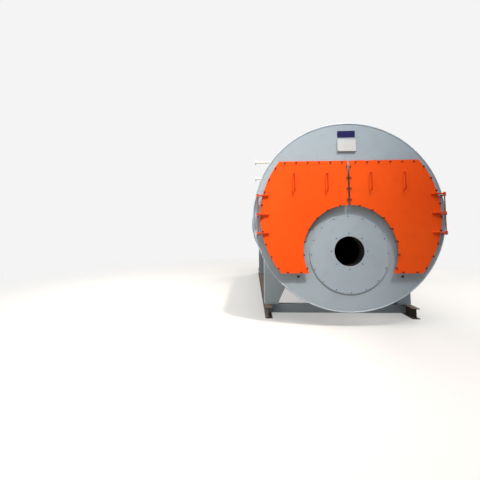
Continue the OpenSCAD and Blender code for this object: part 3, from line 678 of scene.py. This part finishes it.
class BOILER_OT_smokebox(bpy.types.Operator):
    """Rope seals, frame welds, lining anchors and the welds of the tube ends"""

    bl_idname = "boiler.smokebox"
    bl_label = "Add the smokebox details"

    def execute(self, context):
        sizes = context.scene.boiler_sizes
        ropes, frame_beads = bmesh.new(), bmesh.new()
        lo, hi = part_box("door_seals")
        rope_y, rope_r = (lo.y + hi.y) / 2, 0.0059
        rope_inset, frame_inset = 0.106, 0.0985
        for _, sign in SIDES:
            sweep(ropes, door_loop(rope_inset, rope_inset, rope_y, sign, 0.025), rope_r, 10, True)
            bead(frame_beads, door_loop(frame_inset, frame_inset, FACE_Y, sign), sizes.weld_r, 7,
                 True)
        # The rope is pressed between the frame and the door
        flat = (hi.y - lo.y) / (2 * rope_r)
        bmesh.ops.scale(ropes, verts=ropes.verts, vec=(1, flat, 1),
                        space=Matrix.Translation((0, -rope_y, 0)))
        rope = new_piece("rope_seals", ropes, "boiler", "rope_seal")
        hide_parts("door_seals")
        new_piece("frame_welds", frame_beads, "boiler", "grey_enamel")
        for side, sign in SIDES:
            bm = bmesh.new()
            back_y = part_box(side + "_door_lining")[1].y
            for x, z in ((0.25, 0.58), (0.60, 0.58), (0.92, 0.58), (0.45, 0.32), (0.80, 0.30),
                         (1.07, 0.30), (0.86, -0.05), (1.09, -0.05), (0.96, -0.48)):
                place = facing(in_front(sign * x, z, back_y), (0, 1, 0))
                drum_part(bm, place, 0.028, -0.001, 0.003, 20)
                drum_part(bm, place, 0.011, 0.003, 0.013, 6)
                drum_part(bm, place, 0.006, 0.013, 0.019, 12)
            new_piece(side + "_lining_anchors", bm, side + "_smokebox_door", "boiler_steel")
        bm = bmesh.new()
        tube_r, furnace_r = 0.0365, 0.547
        for x, z in tube_places():
            ring = circle_points(in_front(x, z, SHEET_Y), tube_r, (0, -1, 0), 16)
            sweep(bm, ring, sizes.fine_weld_r * 0.9, 5, True)
        bead(bm, circle_points(in_front(0, BURNER_Z, SHEET_Y), furnace_r, (0, -1, 0), 120),
             sizes.weld_r, 8, True)
        new_piece("tube_welds", bm, "boiler", "boiler_steel")
        return {"FINISHED"}


def tube_places():
    """Fire tubes on the right and left, in rows 115 mm apart that stay clear of the frame."""
    edge, inset = 0.055, 0.112
    return [(sign * x, z) for _, sign in SIDES
            for x in (0.167 + 0.115 * i for i in range(13))
            for z in (0.035 + 0.115 * k for k in range(-8, 9))
            if math.hypot(x, z) < DOOR_R - inset - edge
            and math.hypot(x, z - ARCH_Z) > ARCH_R + inset + edge
            and inset + edge - DOOR_BOTTOM < z < DOOR_TOP - inset - edge]


class BOILER_OT_end_fixings(bpy.types.Operator):
    """Screws of the burner plate, the rear cover, the sight port, the manhole and the plates"""

    bl_idname = "boiler.end_fixings"
    bl_label = "Add the screws of plates and covers"

    def execute(self, context):
        sizes = context.scene.boiler_sizes
        lo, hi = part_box("burner_plate")
        bm = bmesh.new()
        bolted_ring(bm, Vector((0, PLATE_FRONT_Y, (lo.z + hi.z) / 2)), hi.x - 0.023, (0, -1, 0), 16,
                    sizes.plate_screw, 1.0, washer=False)
        new_piece("burner_plate_screws", bm, "boiler", "boiler_steel")

        bm = bmesh.new()
        lo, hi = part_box("rear_cover")
        bolted_ring(bm, Vector((0, COVER_BACK_Y, (lo.z + hi.z) / 2)), hi.x - 0.035, (0, 1, 0), 16,
                    sizes.cover_screw, stud=0.012)
        bolted_ring(bm, Vector((0, hi.y, (lo.z + hi.z) / 2)), 0.051, (0, 1, 0), 6, 0.010, 30,
                    washer=False)
        lo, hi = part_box("manhole_neck")
        circle = (hi.x - lo.x) / 2 - 0.036
        bolted_ring(bm, Vector((0, MANHOLE_Y, hi.z + 0.0303)), circle, (0, 0, 1), 16,
                    sizes.cover_screw, stud=0.015)
        bolted_ring(bm, Vector((0, MANHOLE_Y, hi.z - 0.028)), circle, (0, 0, -1), 16,
                    sizes.cover_screw)
        new_piece("cover_screws", bm, "boiler", "zinc")

        bm = bmesh.new()
        lo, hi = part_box("rear_cover")
        pane = facing(Vector((0, hi.y - 0.009, (lo.z + hi.z) / 2)), (0, 1, 0))
        drum_part(bm, pane, 0.0298, 0.0, 0.005, 48, 0.0285)
        new_piece("sight_pane", bm, "boiler", "pane")

        bm = bmesh.new()
        for node, inset, size in (("data_plate", 0.012, 0.007), ("blank_blue_plate", 0.010, 0.006)):
            lo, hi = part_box(node)
            for x in (lo.x + inset, hi.x - inset):
                for z in (lo.z + inset, hi.z - inset):
                    place = facing(Vector((x, lo.y, z)), (0, -1, 0))
                    drum_part(bm, place, size * 0.6, 0.0, size * 0.15, 16)
                    drum_part(bm, place, size * 0.6, size * 0.15, size * 0.4, 16, size * 0.3)
        new_piece("plate_rivets", bm, "boiler", "zinc")
        return {"FINISHED"}


class BOILER_OT_cladding(bpy.types.Operator):
    """Seams, screws, pipe collars and sealant of the stainless cladding"""

    bl_idname = "boiler.cladding"
    bl_label = "Add the cladding's seams and collars"

    def execute(self, context):
        sizes = context.scene.boiler_sizes
        self.seams(sizes)
        self.band_screws(sizes)
        self.collars(sizes)
        return {"FINISHED"}

    def seams(self, sizes):
        """Lapped joints along the shell between the bands, staggered from side to side."""
        strips, screws = bmesh.new(), bmesh.new()
        ends = 0.075
        stops = [FACE_Y + ends] + BANDS + [BACK_Y - ends]
        for angle in SEAM_ANGLES:
            for i, (one, other) in enumerate(zip(stops, stops[1:])):
                start = one + (HALF_BAND if i else 0) + 0.001
                finish = other - (HALF_BAND if i < len(BANDS) else 0) - 0.001
                turn = angle + (2.5 if i % 2 else 0.0)
                middle = round_shell(turn, (start + finish) / 2, 0.0008)
                made = bmesh.ops.create_cube(strips, size=1.0)
                # The strip's long side runs along the shell
                size = Matrix.Diagonal((0.036, finish - start, 0.0014, 1.0))
                side = middle.to_3x3().inverted() @ Vector((0, 1, 0))
                spin = Matrix.Rotation(math.atan2(side.y, side.x) - math.pi / 2, 4, "Z")
                bmesh.ops.transform(strips, matrix=middle @ spin @ size, verts=made["verts"])
                count = max(2, round((finish - start) / 0.15))
                for k in range(count):
                    y = start + (finish - start) * (k + 0.5) / count
                    sheet_screw(screws, round_shell(turn, y, 0.0015), sizes.sheet_screw)
        new_piece("cladding_seams", strips, "boiler", "stainless_sheet")
        new_piece("seam_screws", screws, "boiler", "zinc")

    def band_screws(self, sizes):
        """Screws round each joint band, left out where the flue cuts the last one."""
        bm = bmesh.new()
        for i, y in enumerate(BANDS):
            for angle in range(3, 360, 6):
                cut = 75 < angle < 105 if i == len(BANDS) - 1 else 87 <= angle <= 93
                if not cut:
                    for edge in (-0.017, 0.017):
                        sheet_screw(bm, round_shell(angle, y + edge, 0.0023), sizes.sheet_screw)
        new_piece("band_screws", bm, "boiler", "zinc")

    def collars(self, sizes):
        """Sheet collars and sealant where pipes, flue and lugs leave the cladding."""
        sheet, seal = bmesh.new(), bmesh.new()
        # Which way a pipe leaves, its place along the shell, its level and its radius
        pipes = [("up", STEAM_Y, 0, 0.081), ("up", MANHOLE_Y, 0, 0.206),
                 ("up", STEAM_Y - SAFETY_STEP, 0, 0.046), ("up", STEAM_Y + SAFETY_STEP, 0, 0.046),
                 ("right", FEED[0], FEED[1], 0.031)]
        pipes += [("left", y, z, 0.016) for y, z in GAUGES]
        for kind, y, level, radius in pipes:
            inner = on_shell(kind, y, level, radius + 0.002, 0.0025)
            outer = on_shell(kind, y, level, radius + sizes.collar_w, 0.0025)
            flashing(sheet, inner, outer, 0.0012)
            bead(seal, on_shell(kind, y, level, radius + 0.003, 0.004), sizes.weld_r * 0.8, 9, True)
        lo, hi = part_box("flue_outlet")
        lip = 0.042
        half, y0, y1 = hi.x - lip, lo.y + lip, hi.y - lip
        corners = [(-half, y0), (half, y0), (half, y1), (-half, y1), (-half, y0)]
        flat = polyline([Vector((x, y, 0)) for x, y in corners], 0.03)[:-1]
        bead(seal, [Vector((p.x, p.y, AXIS_Z + math.sqrt(CLAD_R ** 2 - p.x ** 2))) for p in flat],
             sizes.weld_r, 10, True)
        lug, wide = 0.016, 0.111
        for y in LIFTING:
            for tilt in (-LIFTING_TILT, LIFTING_TILT):
                turn = Matrix.Rotation(math.radians(tilt), 4, "Y")
                place = Matrix.Translation((0, 0, AXIS_Z)) @ turn
                corners = [place @ Vector((x, y + v, CLAD_R)) for x, v in
                           ((-lug, -wide), (lug, -wide), (lug, wide), (-lug, wide), (-lug, -wide))]
                bead(seal, polyline(corners, 0.016)[:-1], sizes.weld_r * 0.8, 11, True)
        new_piece("pipe_collars", sheet, "boiler", "stainless_sheet")
        new_piece("collar_sealant", seal, "boiler", "primer")


class BOILER_OT_welds(bpy.types.Operator):
    """Weld beads of the rims, the legs and the cross beams"""

    bl_idname = "boiler.welds"
    bl_label = "Add the welds of rims and legs"

    def execute(self, context):
        weld = context.scene.boiler_sizes.weld_r
        bm = bmesh.new()
        for y, normal in ((FACE_Y, (0, -1, 0)), (BACK_Y, (0, 1, 0))):
            bead(bm, circle_points(in_front(0, 0, y), RIM_R - 0.0235, normal, RIM_STEPS),
                 weld * 0.35, 12, True)
        # The legs hold the shell along an arc, and stand on the skids from their inner foot
        saddle_low, saddle, foot = -52.8, 23.2, 1.200
        for node in ("front_left_leg", "front_right_leg", "rear_left_leg", "rear_right_leg"):
            lo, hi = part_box(node)
            sign = 1 if lo.x > 0 else -1
            outer, skid_top = max(abs(lo.x), abs(hi.x)), lo.z
            for y in (lo.y, hi.y):
                arc = [Vector((sign * CLAD_R * math.cos(a), y, AXIS_Z + CLAD_R * math.sin(a)))
                       for a in (math.radians(saddle_low + saddle * i / 40) for i in range(41))]
                bead(bm, arc, weld, 13)
            corners = [Vector((sign * x, y, skid_top)) for x, y in
                       ((foot, lo.y), (outer, lo.y), (outer, hi.y), (foot, hi.y))]
            bead(bm, polyline(corners), weld, 14)
        new_piece("leg_welds", bm, "boiler", "grey_enamel")

        bm = bmesh.new()
        lo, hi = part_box("cross_beams")
        wide, thick = 0.110, 0.012
        for x in (lo.x, hi.x):
            for y in (lo.y, hi.y - wide):
                for z in (lo.z, hi.z - thick):
                    corners = [Vector((x, y + v, z + up)) for v, up in
                               ((0, 0), (wide, 0), (wide, thick), (0, thick), (0, 0))]
                    bead(bm, polyline(corners, 0.02)[:-1], weld, 15, True)
        new_piece("beam_welds", bm, "boiler", "mill_steel")
        return {"FINISHED"}


class BOILER_OT_rims(bpy.types.Operator):
    """Rolled half-round rims at both ends, spun finely so that their outline is round"""

    bl_idname = "boiler.rims"
    bl_label = "Roll the end rims"

    def execute(self, context):
        lo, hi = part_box("end_rims")
        half = (RIM_R - RIM_INNER_R) / 2
        bm = bmesh.new()
        for front, inward in ((lo.y, 1), (hi.y, -1)):
            section = [(RIM_INNER_R, RIM_DEPTH), (RIM_INNER_R, RIM_DEPTH / 2)]
            section += [(RIM_R - half - half * math.cos(a), half - half * math.sin(a))
                        for a in (math.pi * i / 16 for i in range(17))]
            section += [(RIM_R, RIM_DEPTH / 2), (RIM_R, RIM_DEPTH)]
            ring = ring_edges(bm, [Vector((r, front + inward * y, AXIS_Z)) for r, y in section])
            loop = list({v for e in ring for v in e.verts}) + ring
            bmesh.ops.spin(bm, geom=loop, cent=(0, 0, AXIS_Z), axis=(0, 1, 0),
                           angle=2 * math.pi, steps=RIM_STEPS, use_merge=True)
        piece = new_piece("rolled_rims", bm, "boiler", "rim")
        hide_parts("end_rims")
        return {"FINISHED"}


# The stage: half the floor's width, and the sRGB colour of the backdrop
FLOOR_HALF = 60
BACKDROP = "#f4f4f4"


class BOILER_OT_stage(bpy.types.Operator):
    """Pale floor, soft studio lamps and the camera at the photograph's viewpoint"""

    bl_idname = "boiler.stage"
    bl_label = "Set the stage"

    def execute(self, context):
        scene = context.scene
        sizes, look = scene.boiler_sizes, scene.boiler_look
        scene.view_settings.view_transform = "Standard"
        self.floor(look)
        self.sky(scene)
        self.lamps(scene)
        self.camera(scene, sizes)
        return {"FINISHED"}

    def floor(self, look):
        bm = bmesh.new()
        bmesh.ops.create_grid(bm, x_segments=1, y_segments=1, size=FLOOR_HALF)
        mesh = bpy.data.meshes.new("floor")
        bm.to_mesh(mesh)
        bm.free()
        obj = bpy.data.objects.new("floor", mesh)
        bpy.context.scene.collection.objects.link(obj)
        material, tree, shader, place = new_material("pale_floor", 0.8)
        shader.inputs["Base Color"].default_value = linear("#6f665e")
        # The eye and polished metal see a pale floor, but it throws back only a little light.
        # It takes the object's shadow, and grows into the white backdrop further off.
        lit = add_node(tree, "ShaderNodeBsdfDiffuse", {"Color": linear(look.floor)})
        even = add_node(tree, "ShaderNodeEmission", {"Color": linear(BACKDROP)})
        away = add_node(tree, "ShaderNodeVectorMath", {0: place}, operation="LENGTH")
        share = add_node(tree, "ShaderNodeMapRange",
                         {"Value": away.outputs["Value"], "From Min": 3.5, "From Max": 10.0,
                          "To Min": 0.4, "To Max": 1.0}, interpolation_type="SMOOTHSTEP")
        pale = add_node(tree, "ShaderNodeMixShader", {0: share.outputs["Result"],
                                                      1: lit.outputs[0], 2: even.outputs[0]})
        path = add_node(tree, "ShaderNodeLightPath")
        seen = add_node(tree, "ShaderNodeMath", {0: path.outputs["Is Camera Ray"],
                                                 1: path.outputs["Is Glossy Ray"]},
                        operation="MAXIMUM")
        either = add_node(tree, "ShaderNodeMixShader", {0: seen.outputs[0], 1: shader.outputs[0],
                                                        2: pale.outputs[0]})
        tree.links.new(either.outputs[0], tree.nodes["Material Output"].inputs["Surface"])
        mesh.materials.append(material)

    def sky(self, scene):
        world = bpy.data.worlds.new("studio")
        scene.world = world
        world.use_nodes = True
        tree = world.node_tree
        tree.nodes.clear()
        path = add_node(tree, "ShaderNodeLightPath")
        soft = add_node(tree, "ShaderNodeBackground",
                        {"Color": linear("#d2e1f5"), "Strength": 0.23})
        white = add_node(tree, "ShaderNodeBackground",
                         {"Color": linear(BACKDROP), "Strength": 1.0})
        # Polished metal sees a studio: dim walls, a bright band above them and a greyer ceiling
        place = add_node(tree, "ShaderNodeTexCoord").outputs["Generated"]
        up = add_node(tree, "ShaderNodeSeparateXYZ", {0: place}).outputs["Z"]
        tones = ["#969b9f", "#b6babe", "#ffffff", "#f2f3f4", "#c0c4c7"]
        walls = add_node(tree, "ShaderNodeBackground", {"Color": ramp(tree, up, -0.1, 0.9, tones)})
        metal = add_node(tree, "ShaderNodeMixShader", {
            0: path.outputs["Is Glossy Ray"], 1: soft.outputs[0], 2: walls.outputs[0]})
        either = add_node(tree, "ShaderNodeMixShader", {
            0: path.outputs["Is Camera Ray"], 1: metal.outputs[0], 2: white.outputs[0]})
        add_node(tree, "ShaderNodeOutputWorld", {"Surface": either.outputs[0]})

    def lamps(self, scene):
        """A crisp high key that fades towards the right, a wide soft box overhead, a small one
        close on the left, one low on the left and a strip along the left edge, a card for the
        rim's sheen, and soft lamps over, beside and behind the shell, which leave the front
        dark."""
        for name, at, aim, size, power, colour in (
                ("key", (5.3, -10.4, 22.2), (-4.0, 0, -2.0), None, 39600, "#fff8ee"),
                ("overhead", (0.5, -4.0, 10.0), (0, 0, 0), (10.0, 6.0), 1200, "#eff7ff"),
                ("left_box", (-2.4, -1.6, 2.4), (-0.5, 0, 0.5), (1.6, 1.6), 28, "#ffffff"),
                ("low_left", (-5.0, -4.0, -0.8), (-0.6, 0, -0.4), (2.5, 2.0), 75, "#fff0d8"),
                ("left_edge", (-2.7, -0.7, -0.5), (-1.3, 0, -0.4), (0.6, 1.6), 8, "#e4ebfa"),
                ("low_card", (-4.2, -1.6, -1.0), (-0.8, 0, -1.1), (3.0, 1.2), 22, "#fff3e6"),
                ("top_rear", (0.5, 2.2, 8.0), (0, 1.2, 0), (5.0, 5.0), 350, "#fbfcfd"),
                ("right_side", (7.5, 0.7, 2.5), (0, 1, 0), (3.0, 4.0), 340, "#fbfcfd"),
                ("back_right", (8.0, 13.0, 8.0), (0, 3, 0), (5.0, 5.0), 1500, "#ffffff"),
                ("back_left", (-9.0, 7.0, 6.0), (0, 3, 0), (5.0, 5.0), 950, "#fbfcfd")):
            lamp = bpy.data.lights.new(name, "AREA" if size else "SPOT")
            if size:
                lamp.shape = "RECTANGLE"
                lamp.size, lamp.size_y = size
            else:
                lamp.shadow_soft_size = 0.8
                lamp.spot_size = math.radians(21.5)
                lamp.spot_blend = 1.0
            lamp.energy = power
            lamp.color = linear(colour)[:3]
            obj = bpy.data.objects.new(name, lamp)
            scene.collection.objects.link(obj)
            obj.visible_camera = False
            obj.visible_diffuse = name != "low_card"
            # The bare sheet would mirror these lamps as burnt-out streaks
            obj.visible_glossy = name in ("key", "low_card")
            obj.location = in_front(at[0], at[2], FACE_Y + at[1])
            target = in_front(aim[0], aim[2], FACE_Y + aim[1])
            obj.rotation_mode = "QUATERNION"
            obj.rotation_quaternion = (target - obj.location).to_track_quat("-Z", "Y")

    def camera(self, scene, sizes):
        data = bpy.data.cameras.new("camera")
        camera = bpy.data.objects.new("camera", data)
        scene.collection.objects.link(camera)
        scene.camera = camera
        # A 24 mm lens on a 40 mm wide sensor, its frame set 26.5 of 480 pixels lower
        data.lens = 24.0
        data.sensor_width = 40.0
        data.shift_y = -26.5 / 480
        data.clip_end = 200
        yaw, pitch, roll = (math.radians(a) for a in (-2.26, 3.53, 0.34))
        place = (-sizes.camera_left, FACE_Y - sizes.camera_back, sizes.camera_height)
        camera.matrix_world = (
            Matrix.Translation(place) @ Matrix.Rotation(-yaw, 4, "Z")
            @ Matrix.Rotation(math.radians(90) + pitch, 4, "X")
            @ Matrix.Rotation(-roll, 4, "Z"))


OPERATORS = [BOILER_OT_finishes, BOILER_OT_door_screws, BOILER_OT_door_welds, BOILER_OT_smokebox,
             BOILER_OT_end_fixings, BOILER_OT_cladding, BOILER_OT_welds, BOILER_OT_rims,
             BOILER_OT_stage]


class BOILER_PT_panel(bpy.types.Panel):
    """Lists the boiler's pieces in the order in which they are made"""

    bl_idname = "BOILER_PT_panel"
    bl_label = "Boiler"
    bl_space_type = "VIEW_3D"
    bl_region_type = "UI"
    bl_category = "Boiler"

    def draw(self, context):
        for kind in OPERATORS:
            self.layout.operator(kind.bl_idname)
        for group in (context.scene.boiler_sizes, context.scene.boiler_look):
            for name in group.bl_rna.properties.keys():
                if name not in ("rna_type", "name"):
                    self.layout.prop(group, name)


CLASSES = [BoilerSizes, BoilerLook, *OPERATORS, BOILER_PT_panel]


def register():
    for kind in CLASSES:
        bpy.utils.register_class(kind)
    bpy.types.Scene.boiler_sizes = bpy.props.PointerProperty(type=BoilerSizes)
    bpy.types.Scene.boiler_look = bpy.props.PointerProperty(type=BoilerLook)


def unregister():
    del bpy.types.Scene.boiler_look
    del bpy.types.Scene.boiler_sizes
    for kind in reversed(CLASSES):
        bpy.utils.unregister_class(kind)


def main():
    register()
    for kind in OPERATORS:
        group, name = kind.bl_idname.split(".")
        getattr(getattr(bpy.ops, group), name)()


if __name__ == "__main__":
    main()
